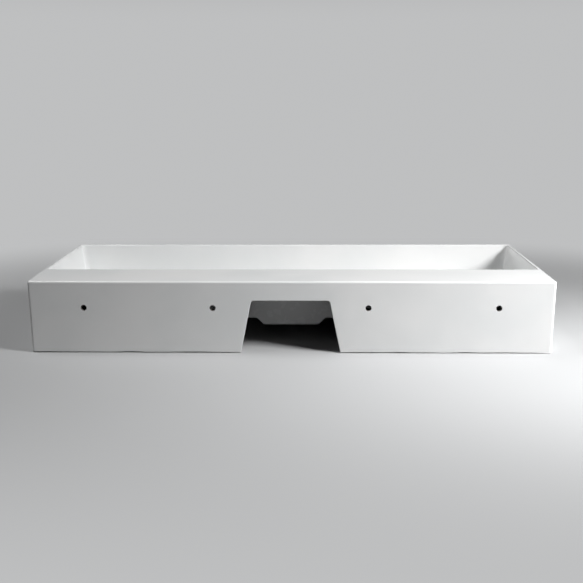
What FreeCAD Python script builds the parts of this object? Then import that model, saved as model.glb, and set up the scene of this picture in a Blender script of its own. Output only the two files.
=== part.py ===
"""Wall-hung trough sink: a glazed casting with its click waste and its overflow trim.

Millimetres. +Z is up, the user stands at -Y and the wall is at +Y. The origin is the centre of the
footprint, on the surface that the skirt stands on. Every size is a cell of the sheet "dims", and
the shapes are bound to those cells by expressions, so a changed cell moves all that depends on it.
"""
import FreeCAD, Part
import math
import os

import Sketcher

DRIVING_SIZES = {
    # casting
    "basin_length": 1200.0,
    "basin_depth": 450.0,
    "basin_height": 170.0,
    "front_corner_radius": 9.5,
    "rear_corner_radius": 6.0,
    "top_edge_radius": 4.5,
    "foot_edge_radius": 1.0,
    "side_rim": 9.0,
    "front_rim": 12.0,
    "ledge_depth": 128.0,
    "ledge_thickness": 16.0,
    "bowl_depth": 97.0,
    "bowl_draft": 10.0,
    "bowl_corner_radius": 12.0,
    "bowl_rear_corner_radius": 5.0,
    "bowl_cove_radius": 10.0,
    "bowl_rim_radius": 3.5,
    "floor_fall": 4.0,
    "fall_margin": 12.0,
    "floor_thickness": 17.0,
    "sump_width": 150.0,
    "skirt_wall": 12.0,
    "skirt_corner_radius": 9.0,
    "back_wall": 14.0,
    "bowl_wall": 14.0,
    # drain boss, overflow housing and the channel inside them
    "drain_from_back": 285.0,
    "boss_width": 132.0,
    "boss_drop": 17.0,
    "boss_edge_radius": 5.0,
    "boss_root_radius": 8.0,
    "housing_edge_radius": 3.0,
    "housing_width": 240.0,
    "housing_from_back": 98.0,
    "channel_width": 100.0,
    "channel_skin": 8.0,
    "channel_rise": 11.0,
    "overflow_skin": 11.0,
    "channel_headroom": 8.0,
    "overflow_below_rim": 32.0,
    "overflow_bore": 26.0,
    # wall fixing holes and the pipe notch
    "fixing_bore": 13.0,
    "fixing_height": 107.5,
    "outer_fixing_spacing": 946.0,
    "inner_fixing_spacing": 355.0,
    "hole_edge_radius": 0.6,
    "notch_base_width": 229.0,
    "notch_top_width": 178.0,
    "notch_height": 124.5,
    "notch_corner_radius": 6.0,
    "notch_draft": 8.0,
    "notch_edge_radius": 1.2,
    # waste
    "drain_bore": 46.0,
    "seat_clearance": 1.0,
    "seat_edge_radius": 1.5,
    "flange_diameter": 64.0,
    "flange_thickness": 2.5,
    "flange_edge_radius": 1.0,
    "thread_diameter": 41.9,
    "thread_pitch": 2.309,
    "thread_depth": 0.9,
    "waste_tube_wall": 3.0,
    "mouth_chamfer": 2.5,
    "waste_length": 58.0,
    "plain_tail": 10.0,
    "window_width": 16.0,
    "window_height": 8.0,
    "web_height": 6.0,
    "web_thickness": 5.0,
    "web_hub_diameter": 14.0,
    "web_below_flange": 34.0,
    "gasket_thickness": 1.5,
    "gasket_margin": 2.0,
    "ring_clearance": 0.3,
    "cone_washer_height": 6.0,
    "cone_washer_diameter": 64.0,
    "cone_washer_spigot": 3.0,
    "slip_washer_thickness": 1.5,
    "slip_washer_diameter": 62.0,
    "backnut_height": 10.0,
    "backnut_across_flats": 55.0,
    "nut_chamfer": 1.5,
    "thread_clearance": 0.05,
    # click cartridge
    "cartridge_diameter": 16.0,
    "cartridge_height": 26.5,
    "cartridge_wall": 1.9,
    "cartridge_base": 2.0,
    "stud_diameter": 8.0,
    "stud_length": 10.0,
    "collar_wall": 1.2,
    "collar_overlap": 5.0,
    "collar_top": 3.0,
    "spring_wire": 1.0,
    "spring_diameter": 9.4,
    "spring_turns": 4.0,
    "piston_height": 4.0,
    "latch_height": 4.0,
    "latch_teeth": 6.0,
    "latch_tooth_depth": 1.4,
    "latch_tooth_width": 3.6,
    "stem_diameter": 6.0,
    "sliding_clearance": 0.1,
    "end_clearance": 0.3,
    "plug_travel": 8.0,
    # plug
    "cap_diameter": 62.0,
    "cap_edge_height": 2.0,
    "cap_crown": 2.6,
    "cap_edge_radius": 0.8,
    "cap_boss_diameter": 14.0,
    "cap_boss_length": 5.5,
    "stem_grip": 6.5,
    "seal_diameter": 50.0,
    "seal_thickness": 2.0,
    # overflow trim
    "trim_diameter": 34.0,
    "trim_thickness": 2.4,
    "trim_edge_height": 0.6,
    "trim_shoulder_height": 1.9,
    "trim_shoulder_width": 1.2,
    "trim_bore": 18.0,
    "trim_spigot_wall": 1.6,
    "trim_spigot_length": 8.0,
    "clip_length": 9.0,
    "clip_band": 3.0,
    "clip_slit": 2.0,
}

# heights above the floor
RIM_Z = "dims.basin_height"
BOWL_FLOOR_Z = "(dims.basin_height - dims.bowl_depth)"
SUMP_Z = f"({BOWL_FLOOR_Z} - dims.floor_fall)"
UNDERSIDE_Z = f"({BOWL_FLOOR_Z} - dims.floor_thickness)"
BOSS_Z = f"({UNDERSIDE_Z} - dims.boss_drop)"
LEDGE_UNDERSIDE_Z = "(dims.basin_height - dims.ledge_thickness)"
CHANNEL_FLOOR_Z = f"({BOSS_Z} + dims.channel_skin)"
CHANNEL_ROOF_Z = f"({CHANNEL_FLOOR_Z} + dims.channel_rise)"
CHANNEL_TOP_Z = f"({LEDGE_UNDERSIDE_Z} - dims.channel_headroom)"
SEAT_Z = f"({SUMP_Z} - dims.flange_thickness - dims.gasket_thickness)"
OVERFLOW_Z = "(dims.basin_height - dims.overflow_below_rim)"
TAIL_Z = f"({SUMP_Z} - dims.waste_length)"
THREAD_Z = f"({TAIL_Z} + dims.plain_tail)"
WEB_TOP_Z = f"({SUMP_Z} - dims.web_below_flange)"
WINDOW_Z = f"({CHANNEL_FLOOR_Z} + (dims.channel_rise - dims.window_height) / 2)"

# distances across the depth
BACK_Y = "(dims.basin_depth / 2)"
FRONT_Y = "(-dims.basin_depth / 2)"
LEDGE_EDGE_Y = f"({BACK_Y} - dims.ledge_depth)"
BOWL_FRONT_Y = f"({FRONT_Y} + dims.front_rim)"
DRAIN_Y = f"({BACK_Y} - dims.drain_from_back)"
HOUSING_Y = f"({BACK_Y} - dims.housing_from_back)"
BACK_WALL_Y = f"({BACK_Y} - dims.back_wall)"

DRAFT = "tan(dims.bowl_draft * 1deg)"
DRAFT_COSINE = "cos(dims.bowl_draft * 1deg)"

# radii about the drain
THREAD_R = "(dims.thread_diameter / 2)"
TUBE_BORE_R = f"({THREAD_R} - dims.waste_tube_wall)"
RING_BORE_R = f"({THREAD_R} + dims.ring_clearance)"
STEM_R = "(dims.stem_diameter / 2)"
CARTRIDGE_R = "(dims.cartridge_diameter / 2)"
CARTRIDGE_BORE_R = f"({CARTRIDGE_R} - dims.cartridge_wall)"
PISTON_R = f"({CARTRIDGE_BORE_R} - dims.sliding_clearance)"
STEM_HOLE_R = f"({STEM_R} + dims.sliding_clearance)"

# the click cartridge from its foot up, with the plug down
SPRING_FOOT_Z = f"({WEB_TOP_Z} + dims.cartridge_base + dims.end_clearance)"
COLLAR_UNDERSIDE_Z = f"({WEB_TOP_Z} + dims.cartridge_height)"
COLLAR_TOP_Z = f"({COLLAR_UNDERSIDE_Z} + dims.collar_top)"
LATCH_TOP_Z = f"({COLLAR_UNDERSIDE_Z} - dims.end_clearance - dims.plug_travel)"
LATCH_FOOT_Z = f"({LATCH_TOP_Z} - dims.latch_height)"
PISTON_TOP_Z = f"({LATCH_FOOT_Z} - dims.end_clearance)"
PISTON_FOOT_Z = f"({PISTON_TOP_Z} - dims.piston_height)"
SPRING_SPACE = f"({PISTON_FOOT_Z} - {SPRING_FOOT_Z} - dims.end_clearance)"
SEAL_FOOT_Z = f"({SUMP_Z} + dims.end_clearance)"
CAP_FOOT_Z = f"({SEAL_FOOT_Z} + dims.seal_thickness)"
CAP_EDGE_Z = f"({CAP_FOOT_Z} + dims.cap_edge_height)"
STEM_TOP_Z = f"({CAP_FOOT_Z} - dims.cap_boss_length + dims.stem_grip)"

# the nut stack under the boss, from the top down
CONE_FOOT_Z = f"({BOSS_Z} - dims.cone_washer_height)"
SLIP_FOOT_Z = f"({CONE_FOOT_Z} - dims.slip_washer_thickness)"
NUT_FOOT_Z = f"({SLIP_FOOT_Z} - dims.backnut_height)"

# radii about the overflow
TRIM_BORE_R = "(dims.trim_bore / 2)"
SPIGOT_R = f"({TRIM_BORE_R} + dims.trim_spigot_wall)"
CLIP_BORE_R = f"({SPIGOT_R} + dims.sliding_clearance)"
CLIP_R = "(dims.overflow_bore / 2 - dims.ring_clearance)"

FULL_TURN = 360.0
QUARTER = math.pi / 2
HEXAGON_SIDES = 6
SLIT_PAIRS = 2
CUT_MARGIN = 5.0
OVERLAP = 1.0
TOUCH = 0.01
# a rounding takes at most this share of the wall or corner that it is cut in
ROUNDING_SHARE = 0.9
# two roundings on one wall take at most this share each
SHARED_ROUNDING = 0.4
# half the mouth of a thread groove, as a share of the pitch
GROOVE_SHARE = 0.4

doc = FreeCAD.newDocument("trough_sink")
sheet = doc.addObject("Spreadsheet::Sheet", "dims")


def fill_sheet():
    """Write every driving size in the sheet, with its name beside it."""
    for row, (alias, value) in enumerate(DRIVING_SIZES.items(), start=1):
        sheet.set(f"A{row}", alias)
        sheet.set(f"B{row}", str(value))
        sheet.setAlias(f"B{row}", alias)
    doc.recompute()


def number(expression):
    """Return what an expression of the sheet's sizes comes to, in millimetres."""
    return float(sheet.evalExpression(str(expression)))


def limited(radius, *walls):
    """Return an expression for a radius that stays inside the walls it rounds."""
    return f"min({radius}; {'; '.join(walls)})"


# ---------------------------------------------------------------- sketches and features


def new_body(label):
    """Add an empty body whose label names its file."""
    body = doc.addObject("PartDesign::Body", label)
    body.Label = label
    return body


def new_sketch(body, name, plane, lift="0", shift_y="0", tilt=None):
    """Attach a sketch to an origin plane, lifted along the plane's normal.

    A tilt turns the sketch about its own X axis, in degrees.
    """
    sketch = body.newObject("Sketcher::SketchObject", f"{body.Label}_{name}")
    origin_plane = [item for item in body.Origin.OriginFeatures if item.Role == plane][0]
    sketch.AttachmentSupport = [(origin_plane, "")]
    sketch.MapMode = "FlatFace"
    if tilt is not None:
        turn = FreeCAD.Rotation(FreeCAD.Vector(1, 0, 0), number(tilt))
        sketch.AttachmentOffset = FreeCAD.Placement(FreeCAD.Vector(), turn)
        sketch.setExpression("AttachmentOffset.Rotation.Angle", tilt)
    sketch.setExpression("AttachmentOffset.Base.y", str(shift_y))
    sketch.setExpression("AttachmentOffset.Base.z", str(lift))
    return sketch


def bind(sketch, kind, expression, *where):
    """Add one constraint and bind it to an expression."""
    index = sketch.addConstraint(Sketcher.Constraint(kind, *where, number(expression)))
    sketch.setExpression(f"Constraints[{index}]", str(expression))


def bind_point(sketch, geometry, end, x, y):
    """Hold one point of a sketch at an x and y from the sketch's origin."""
    bind(sketch, "DistanceX", x, -1, 1, geometry, end)
    bind(sketch, "DistanceY", y, -1, 1, geometry, end)


def draw_polygon(sketch, corners):
    """Draw a closed polygon whose corners are pairs of expressions."""
    places = [FreeCAD.Vector(number(x), number(y), 0) for x, y in corners]
    first = sketch.GeometryCount
    count = len(corners)
    for index, place in enumerate(places):
        sketch.addGeometry(Part.LineSegment(place, places[(index + 1) % count]), False)
    for index, (x, y) in enumerate(corners):
        following = first + (index + 1) % count
        sketch.addConstraint(Sketcher.Constraint("Coincident", first + index, 2, following, 1))
        bind_point(sketch, first + index, 1, x, y)


def draw_crowned_profile(sketch, corners, crown_radius):
    """Draw a closed polygon whose last edge, back to the axis, is an arc centred on the axis."""
    places = [FreeCAD.Vector(number(x), number(y), 0) for x, y in corners]
    radius = number(crown_radius)
    crown, edge = places[0], places[-1]
    centre = FreeCAD.Vector(0, crown.y - radius, 0)
    start = math.atan2(edge.y - centre.y, edge.x)
    circle = Part.Circle(centre, FreeCAD.Vector(0, 0, 1), radius)
    for place, following in zip(places, places[1:]):
        sketch.addGeometry(Part.LineSegment(place, following), False)
    last = len(places) - 1
    sketch.addGeometry(Part.ArcOfCircle(circle, start, QUARTER), False)
    for index in range(last - 1):
        sketch.addConstraint(Sketcher.Constraint("Coincident", index, 2, index + 1, 1))
    sketch.addConstraint(Sketcher.Constraint("Coincident", last - 1, 2, last, 1))
    sketch.addConstraint(Sketcher.Constraint("Coincident", last, 2, 0, 1))
    for index, (x, y) in enumerate(corners[:-1]):
        bind_point(sketch, index, 1, x, y)
    bind_point(sketch, last - 1, 2, *corners[-1])
    bind(sketch, "Radius", crown_radius, last)


def draw_rounded_rectangle(sketch, left, right, low, high, low_radius, high_radius):
    """Draw a rectangle with round corners, all by expressions, starting at the low left."""
    corners = [
        (f"({left} + {low_radius})", f"({low} + {low_radius})", low_radius, 2 * QUARTER),
        (f"({right} - {low_radius})", f"({low} + {low_radius})", low_radius, 3 * QUARTER),
        (f"({right} - {high_radius})", f"({high} - {high_radius})", high_radius, 0.0),
        (f"({left} + {high_radius})", f"({high} - {high_radius})", high_radius, QUARTER),
    ]
    arcs = []
    for x, y, radius, start in corners:
        centre = FreeCAD.Vector(number(x), number(y), 0)
        circle = Part.Circle(centre, FreeCAD.Vector(0, 0, 1), number(radius))
        arcs.append(Part.ArcOfCircle(circle, start, start + QUARTER))
    for index, arc in enumerate(arcs):
        following = arcs[(index + 1) % len(arcs)]
        sketch.addGeometry(arc, False)
        sketch.addGeometry(Part.LineSegment(arc.EndPoint, following.StartPoint), False)
    for index, (x, y, radius, _start) in enumerate(corners):
        arc, line, following = 2 * index, 2 * index + 1, (2 * index + 2) % (2 * len(corners))
        sketch.addConstraint(Sketcher.Constraint("Tangent", arc, 2, line, 1))
        sketch.addConstraint(Sketcher.Constraint("Tangent", line, 2, following, 1))
        bind_point(sketch, arc, 3, x, y)
        bind(sketch, "Radius", radius, arc)


def draw_circle(sketch, x, y, radius):
    """Draw one circle at an x and y."""
    centre = FreeCAD.Vector(number(x), number(y), 0)
    circle = Part.Circle(centre, FreeCAD.Vector(0, 0, 1), number(radius))
    index = sketch.addGeometry(circle, False)
    bind_point(sketch, index, 3, x, y)
    bind(sketch, "Radius", radius, index)


def extrude(body, kind, sketch, length, both_ways=False, reverse=False, draft=None):
    """Pad or pocket a sketch by a length, and make sure that the volume changed as it should.

    A draft widens the cut or the pad along the way, in degrees.
    """
    before = body.Shape.Volume if body.Shape and not body.Shape.isNull() else 0.0
    feature = body.newObject(f"PartDesign::{kind}", f"{sketch.Label}_{kind.lower()}")
    feature.Profile = sketch
    feature.setExpression("Length", str(length))
    feature.Reversed = reverse
    if both_ways:
        feature.Midplane = True
    if draft is not None:
        feature.setExpression("TaperAngle", draft)
    doc.recompute()
    check_volume(feature, before, kind == "Pad")
    return feature


def turn(body, kind, sketch):
    """Turn a sketch about its own vertical axis into a solid or a groove."""
    before = body.Shape.Volume if body.Shape and not body.Shape.isNull() else 0.0
    feature = body.newObject(f"PartDesign::{kind}", f"{sketch.Label}_{kind.lower()}")
    feature.Profile = sketch
    feature.ReferenceAxis = (sketch, ["V_Axis"])
    feature.Angle = FULL_TURN
    doc.recompute()
    check_volume(feature, before, kind == "Revolution")
    return feature


def check_volume(feature, before, adds):
    """Stop if a feature that should add or take material did not."""
    after = feature.Shape.Volume
    if (after <= before) if adds else (after >= before):
        raise RuntimeError(f"{feature.Label} went from {before:.1f} to {after:.1f} mm3")


def edges_where(feature, test):
    """Name the edges of a feature that pass a test at three points along them."""
    names = []
    for index, edge in enumerate(feature.Shape.Edges, start=1):
        start, end = edge.ParameterRange
        points = [edge.valueAt(start + (end - start) * share) for share in (0.0, 0.5, 1.0)]
        if all(test(point) for point in points):
            names.append(f"Edge{index}")
    return names


def round_edges(body, feature, name, test, radius):
    """Fillet the edges of a feature that pass a test."""
    names = edges_where(feature, test)
    if not names:
        raise RuntimeError(f"{name}: no edges to round")
    fillet = body.newObject("PartDesign::Fillet", f"{body.Label}_{name}")
    fillet.Base = (feature, names)
    fillet.setExpression("Radius", str(radius))
    doc.recompute()
    if fillet.Shape.isNull() or not fillet.isValid():
        raise RuntimeError(f"{name}: the edges could not be rounded")
    return fillet


def at_height(height):
    """Return a test for points at a height."""
    level = number(height)
    return lambda point: abs(point.z - level) < TOUCH


# ---------------------------------------------------------------- the casting


def bowl_section(body, name, height, margin="0", rear_radius="dims.bowl_corner_radius"):
    """Draw the bowl's outline at a height, drawn in by the draft below the rim and a margin."""
    inset = f"((dims.basin_height - {height}) * {DRAFT} + {margin})"
    sketch = new_sketch(body, name, "XY_Plane", lift=height)
    half = f"(dims.basin_length / 2 - dims.side_rim - {inset})"
    draw_rounded_rectangle(
        sketch, f"(-{half})", half, f"({BOWL_FRONT_Y} + {inset})", f"({LEDGE_EDGE_Y} - {inset})",
        "dims.bowl_corner_radius", rear_radius,
    )
    return sketch


def cut_loft(body, name, upper, lower):
    """Cut away the ruled solid between two outlines."""
    before = body.Shape.Volume
    loft = body.newObject("PartDesign::SubtractiveLoft", f"{body.Label}_{name}")
    loft.Profile = upper
    loft.Sections = [lower]
    loft.Ruled = True
    doc.recompute()
    check_volume(loft, before, adds=False)
    return loft


def cut_bowl(body):
    """Cut the bowl: drafted walls, a cove round the floor, and a fall to a flat sump.

    The rear corners are tight at the ledge and open out to the floor's own corners.
    """
    rim = bowl_section(body, "bowl_rim", RIM_Z, rear_radius="dims.bowl_rear_corner_radius")
    floor = bowl_section(body, "bowl_floor", BOWL_FLOOR_Z)
    bowl = cut_loft(body, "bowl", rim, floor)
    cove_radius = limited("dims.bowl_cove_radius", f"dims.bowl_corner_radius * {ROUNDING_SHARE}")
    coved = round_edges(body, bowl, "bowl_cove", at_height(BOWL_FLOOR_Z), cove_radius)
    rim_half = number("dims.basin_length / 2 - dims.side_rim")
    front, back = number(BOWL_FRONT_Y), number(LEDGE_EDGE_Y)
    on_rim = at_height(RIM_Z)

    def on_bowl_rim(point):
        inside = abs(point.x) < rim_half + TOUCH and front - TOUCH < point.y < back + TOUCH
        return inside and on_rim(point)

    rims = (f"dims.side_rim * {SHARED_ROUNDING}", f"dims.front_rim * {SHARED_ROUNDING}")
    rim_radius = limited("dims.bowl_rim_radius", *rims)
    round_edges(body, coved, "bowl_rim_edge", on_bowl_rim, rim_radius)
    cut_floor_fall(body)


def cut_floor_fall(body):
    """Let the floor fall from inside its cove to the flat sump round the drain."""
    margin = "(dims.bowl_cove_radius + dims.fall_margin)"
    edge = bowl_section(body, "fall_edge", BOWL_FLOOR_Z, margin)
    sump = new_sketch(body, "sump", "XY_Plane", lift=SUMP_Z)
    half = "(dims.sump_width / 2)"
    corner = limited("dims.bowl_corner_radius", f"{half} * {ROUNDING_SHARE}")
    draw_rounded_rectangle(
        sump, f"(-{half})", half, f"({DRAIN_Y} - {half})", f"({DRAIN_Y} + {half})", corner, corner
    )
    cut_loft(body, "floor_fall", edge, sump)


def cut_underside(body):
    """Hollow the casting from below: under the bowl, and the pipe space under the ledge."""
    inner_half = "(dims.basin_length / 2 - dims.skirt_wall)"
    hollow = new_sketch(body, "hollow", "XY_Plane")
    draw_rounded_rectangle(
        hollow, f"(-{inner_half})", inner_half, f"({FRONT_Y} + dims.skirt_wall)", BACK_WALL_Y,
        "dims.skirt_corner_radius", "dims.skirt_corner_radius",
    )
    extrude(body, "Pocket", hollow, UNDERSIDE_Z, reverse=True)
    pipe_space = new_sketch(body, "pipe_space", "YZ_Plane")
    draw_polygon(pipe_space, [
        (wall_outside_y(UNDERSIDE_Z), f"({UNDERSIDE_Z} - {OVERLAP})"),
        (BACK_WALL_Y, f"({UNDERSIDE_Z} - {OVERLAP})"),
        (BACK_WALL_Y, LEDGE_UNDERSIDE_Z),
        (wall_outside_y(LEDGE_UNDERSIDE_Z), LEDGE_UNDERSIDE_Z),
    ])
    extrude(body, "Pocket", pipe_space, f"(2 * {inner_half})", both_ways=True)


def wall_inside_y(height):
    """Return where the bowl's rear wall is at a height, on the bowl's side."""
    return f"({LEDGE_EDGE_Y} - (dims.basin_height - {height}) * {DRAFT})"


def wall_outside_y(height, thickness="dims.bowl_wall"):
    """Return where a skin over the bowl's rear wall is, at a height."""
    return f"({wall_inside_y(height)} + {thickness} / {DRAFT_COSINE})"


def add_boss(body):
    """Add the overflow housing behind the bowl and the ridge that leads to the drain boss."""
    housing = new_sketch(body, "housing", "YZ_Plane")
    draw_polygon(housing, [
        (wall_inside_y(UNDERSIDE_Z), UNDERSIDE_Z),
        (HOUSING_Y, UNDERSIDE_Z),
        (HOUSING_Y, f"({LEDGE_UNDERSIDE_Z} + {OVERLAP})"),
        (wall_inside_y(LEDGE_UNDERSIDE_Z), f"({LEDGE_UNDERSIDE_Z} + {OVERLAP})"),
    ])
    extrude(body, "Pad", housing, "dims.housing_width", both_ways=True)
    half = "(dims.boss_width / 2)"
    root_half = f"({half} + dims.boss_drop)"
    inside = f"({UNDERSIDE_Z} + {OVERLAP})"
    ridge = new_sketch(body, "ridge", "XZ_Plane", lift=f"(-{HOUSING_Y})")
    draw_polygon(ridge, [
        (f"(-{half})", BOSS_Z),
        (half, BOSS_Z),
        (root_half, UNDERSIDE_Z),
        (root_half, inside),
        (f"(-{root_half})", inside),
        (f"(-{root_half})", UNDERSIDE_Z),
    ])
    extrude(body, "Pad", ridge, f"({HOUSING_Y} - {DRAIN_Y})")
    nose = new_sketch(body, "nose", "XZ_Plane", lift=f"(-{DRAIN_Y})")
    draw_polygon(nose, [
        ("0", BOSS_Z),
        (half, BOSS_Z),
        (root_half, UNDERSIDE_Z),
        (root_half, inside),
        ("0", inside),
    ])
    round_boss(body, turn(body, "Revolution", nose))


def round_boss(body, nose):
    """Round the ridge's foot, then its lower edge, then the housing's lower rear edge."""
    half = number("dims.boss_width / 2")
    root_half = number("dims.boss_width / 2 + dims.boss_drop")
    drain, housing = number(DRAIN_Y), number(HOUSING_Y)
    underside, lowest = number(UNDERSIDE_Z), number(BOSS_Z)

    def along_ridge(point, reach):
        if point.y > drain:
            return abs(abs(point.x) - reach) < TOUCH and point.y < housing + TOUCH
        return abs(math.hypot(point.x, point.y - drain) - reach) < TOUCH

    root = round_edges(
        body, nose, "boss_root",
        lambda point: abs(point.z - underside) < TOUCH and along_ridge(point, root_half),
        "dims.boss_root_radius",
    )
    edge = round_edges(
        body, root, "boss_edge",
        lambda point: abs(point.z - lowest) < TOUCH and along_ridge(point, half),
        "dims.boss_edge_radius",
    )
    round_edges(
        body, edge, "housing_edge",
        lambda point: abs(point.y - housing) < TOUCH and point.z < underside + TOUCH,
        "dims.housing_edge_radius",
    )


def cut_overflow(body):
    """Cut the channel from the overflow down to a chamber round the drain, and the inlet."""
    behind = f"({HOUSING_Y} - dims.channel_skin)"
    channel = new_sketch(body, "channel", "YZ_Plane")
    draw_polygon(channel, [
        (DRAIN_Y, CHANNEL_FLOOR_Z),
        (behind, CHANNEL_FLOOR_Z),
        (behind, CHANNEL_TOP_Z),
        (wall_outside_y(CHANNEL_TOP_Z, "dims.overflow_skin"), CHANNEL_TOP_Z),
        (wall_outside_y(CHANNEL_ROOF_Z, "dims.overflow_skin"), CHANNEL_ROOF_Z),
        (DRAIN_Y, CHANNEL_ROOF_Z),
    ])
    extrude(body, "Pocket", channel, "dims.channel_width", both_ways=True)
    chamber = new_sketch(body, "chamber", "XY_Plane", lift=CHANNEL_FLOOR_Z)
    draw_circle(chamber, "0", DRAIN_Y, "(dims.channel_width / 2)")
    extrude(body, "Pocket", chamber, "dims.channel_rise", reverse=True)
    inlet = new_sketch(
        body, "inlet", "XZ_Plane", lift=f"(-{wall_inside_y(OVERFLOW_Z)})", shift_y=OVERFLOW_Z,
        tilt="-dims.bowl_draft",
    )
    draw_circle(inlet, "0", "0", "(dims.overflow_bore / 2)")
    extrude(body, "Pocket", inlet, f"(dims.overflow_skin + {CUT_MARGIN})")


def cut_drain(body):
    """Bore the drain, with a sunk seat for the waste's flange."""
    seat = new_sketch(body, "seat", "XY_Plane", lift=SEAT_Z)
    draw_circle(seat, "0", DRAIN_Y, "(dims.flange_diameter / 2 + dims.seat_clearance)")
    sunk = extrude(body, "Pocket", seat, "dims.bowl_depth", reverse=True)
    reach = number("dims.flange_diameter / 2 + dims.seat_clearance")
    drain, level = number(DRAIN_Y), number(SUMP_Z)

    def on_seat(point):
        off_axis = math.hypot(point.x, point.y - drain)
        return abs(off_axis - reach) < TOUCH and abs(point.z - level) < TOUCH

    round_edges(body, sunk, "seat_edge", on_seat, "dims.seat_edge_radius")
    bore = new_sketch(body, "bore", "XY_Plane", lift=SUMP_Z)
    draw_circle(bore, "0", DRAIN_Y, "(dims.drain_bore / 2)")
    extrude(body, "Pocket", bore, f"({SUMP_Z} - {BOSS_Z} + {CUT_MARGIN})")


def cut_back(body):
    """Cut the pipe notch and the four fixing holes through the back wall."""
    notch = new_sketch(body, "notch", "XZ_Plane", lift=f"(-{BACK_Y})")
    base_half = "(dims.notch_base_width / 2)"
    top_half = "(dims.notch_top_width / 2)"
    draw_polygon(notch, [
        (f"(-{base_half})", "0"),
        (base_half, "0"),
        (top_half, "dims.notch_height"),
        (f"(-{top_half})", "dims.notch_height"),
    ])
    depth = f"(dims.back_wall + {CUT_MARGIN})"
    cut = extrude(body, "Pocket", notch, depth, reverse=True, draft="dims.notch_draft")
    height, half = number("dims.notch_height"), number(top_half)
    flare = number(f"{depth} * tan(dims.notch_draft * 1deg)") + TOUCH

    def at_corner(point):
        above, beside = point.z - height, abs(point.x) - half
        return -TOUCH < above < flare and -TOUCH < beside < 2 * flare

    corners = round_edges(body, cut, "notch_corners", at_corner, "dims.notch_corner_radius")
    face, base = number(BACK_Y), number(base_half)

    def on_notch(point):
        inside = abs(point.x) < base + TOUCH and point.z < height + TOUCH
        return inside and abs(point.y - face) < TOUCH

    round_edges(body, corners, "notch_edge", on_notch, "dims.notch_edge_radius")
    holes = new_sketch(body, "fixings", "XZ_Plane", lift=f"(-{BACK_Y})")
    for spacing in ("dims.outer_fixing_spacing", "dims.inner_fixing_spacing"):
        for side in ("", "-"):
            draw_circle(holes, f"({side}{spacing} / 2)", "dims.fixing_height", "(dims.fixing_bore / 2)")
    drilled = extrude(body, "Pocket", holes, depth, reverse=True)
    level, bore = number("dims.fixing_height"), number("dims.fixing_bore / 2")

    def on_hole(point):
        return abs(point.y - face) < TOUCH and abs(point.z - level) < bore + TOUCH

    eased = round_edges(body, drilled, "hole_edge", on_hole, "dims.hole_edge_radius")
    foot_radius = limited("dims.foot_edge_radius", f"dims.notch_edge_radius * {ROUNDING_SHARE}")
    round_edges(body, eased, "foot_edge", at_height("0"), foot_radius)


def make_basin():
    """Build the whole casting."""
    body = new_body("trough_basin")
    outline = new_sketch(body, "outline", "XY_Plane")
    draw_rounded_rectangle(
        outline, "(-dims.basin_length / 2)", "(dims.basin_length / 2)", FRONT_Y, BACK_Y,
        "dims.front_corner_radius", "dims.rear_corner_radius",
    )
    block = extrude(body, "Pad", outline, "dims.basin_height")
    corners = ("dims.rear_corner_radius", "dims.front_corner_radius")
    walls = [f"{corner} * {ROUNDING_SHARE}" for corner in corners]
    round_edges(body, block, "top_edge", at_height(RIM_Z), limited("dims.top_edge_radius", *walls))
    cut_underside(body)
    add_boss(body)
    cut_back(body)
    cut_overflow(body)
    cut_bowl(body)
    cut_drain(body)


# ---------------------------------------------------------------- round pieces


def stand_at_drain(body):
    """Stand a body on the drain's axis."""
    body.setExpression("Placement.Base.y", DRAIN_Y)


def stand_at_overflow(body):
    """Stand a body square on the bowl's rear wall, over the overflow."""
    body.Placement = FreeCAD.Placement(
        FreeCAD.Vector(), FreeCAD.Rotation(FreeCAD.Vector(1, 0, 0), number("90 - dims.bowl_draft"))
    )
    body.setExpression("Placement.Rotation.Angle", "90 - dims.bowl_draft")
    body.setExpression("Placement.Base.y", wall_inside_y(OVERFLOW_Z))
    body.setExpression("Placement.Base.z", OVERFLOW_Z)


def turned_body(label, stand, profile):
    """Turn a closed profile of radius and height pairs into a body of its own."""
    body = new_body(label)
    stand(body)
    sketch = new_sketch(body, "profile", "XZ_Plane")
    draw_polygon(sketch, profile)
    turn(body, "Revolution", sketch)
    return body


def ring_body(label, stand, inner, outer, foot, top):
    """Turn a plain flat ring."""
    return turned_body(label, stand, [(inner, foot), (outer, foot), (outer, top), (inner, top)])


def on_ring(radius, height):
    """Return a test for points on a horizontal circle about a body's own axis."""
    reach, level = number(radius), number(height)

    def test(point):
        off_axis = math.hypot(point.x, point.y)
        return abs(off_axis - reach) < TOUCH and abs(point.z - level) < TOUCH

    return test


# ---------------------------------------------------------------- the waste


def make_waste_body():
    """Turn the waste's flanged tube, then cut its windows, its web and its thread."""
    flange_r = "(dims.flange_diameter / 2)"
    flange_foot = f"({SUMP_Z} - dims.flange_thickness)"
    mouth_r = f"({TUBE_BORE_R} + dims.mouth_chamfer)"
    body = turned_body("waste_body", stand_at_drain, [
        (TUBE_BORE_R, TAIL_Z),
        (THREAD_R, TAIL_Z),
        (THREAD_R, flange_foot),
        (flange_r, flange_foot),
        (flange_r, SUMP_Z),
        (mouth_r, SUMP_Z),
        (TUBE_BORE_R, f"({SUMP_Z} - dims.mouth_chamfer)"),
    ])
    rim = on_ring(flange_r, SUMP_Z)
    edge_radius = limited("dims.flange_edge_radius", f"dims.flange_thickness * {ROUNDING_SHARE}")
    round_edges(body, body.Tip, "flange_edge", rim, edge_radius)
    add_web(body)
    window = new_sketch(body, "window", "XZ_Plane")
    half = "(dims.window_width / 2)"
    top = f"({WINDOW_Z} + dims.window_height)"
    draw_polygon(window, [(f"(-{half})", WINDOW_Z), (half, WINDOW_Z), (half, top), (f"(-{half})", top)])
    extrude(body, "Pocket", window, "(2 * dims.thread_diameter)", both_ways=True)
    cut_thread(body)


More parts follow.
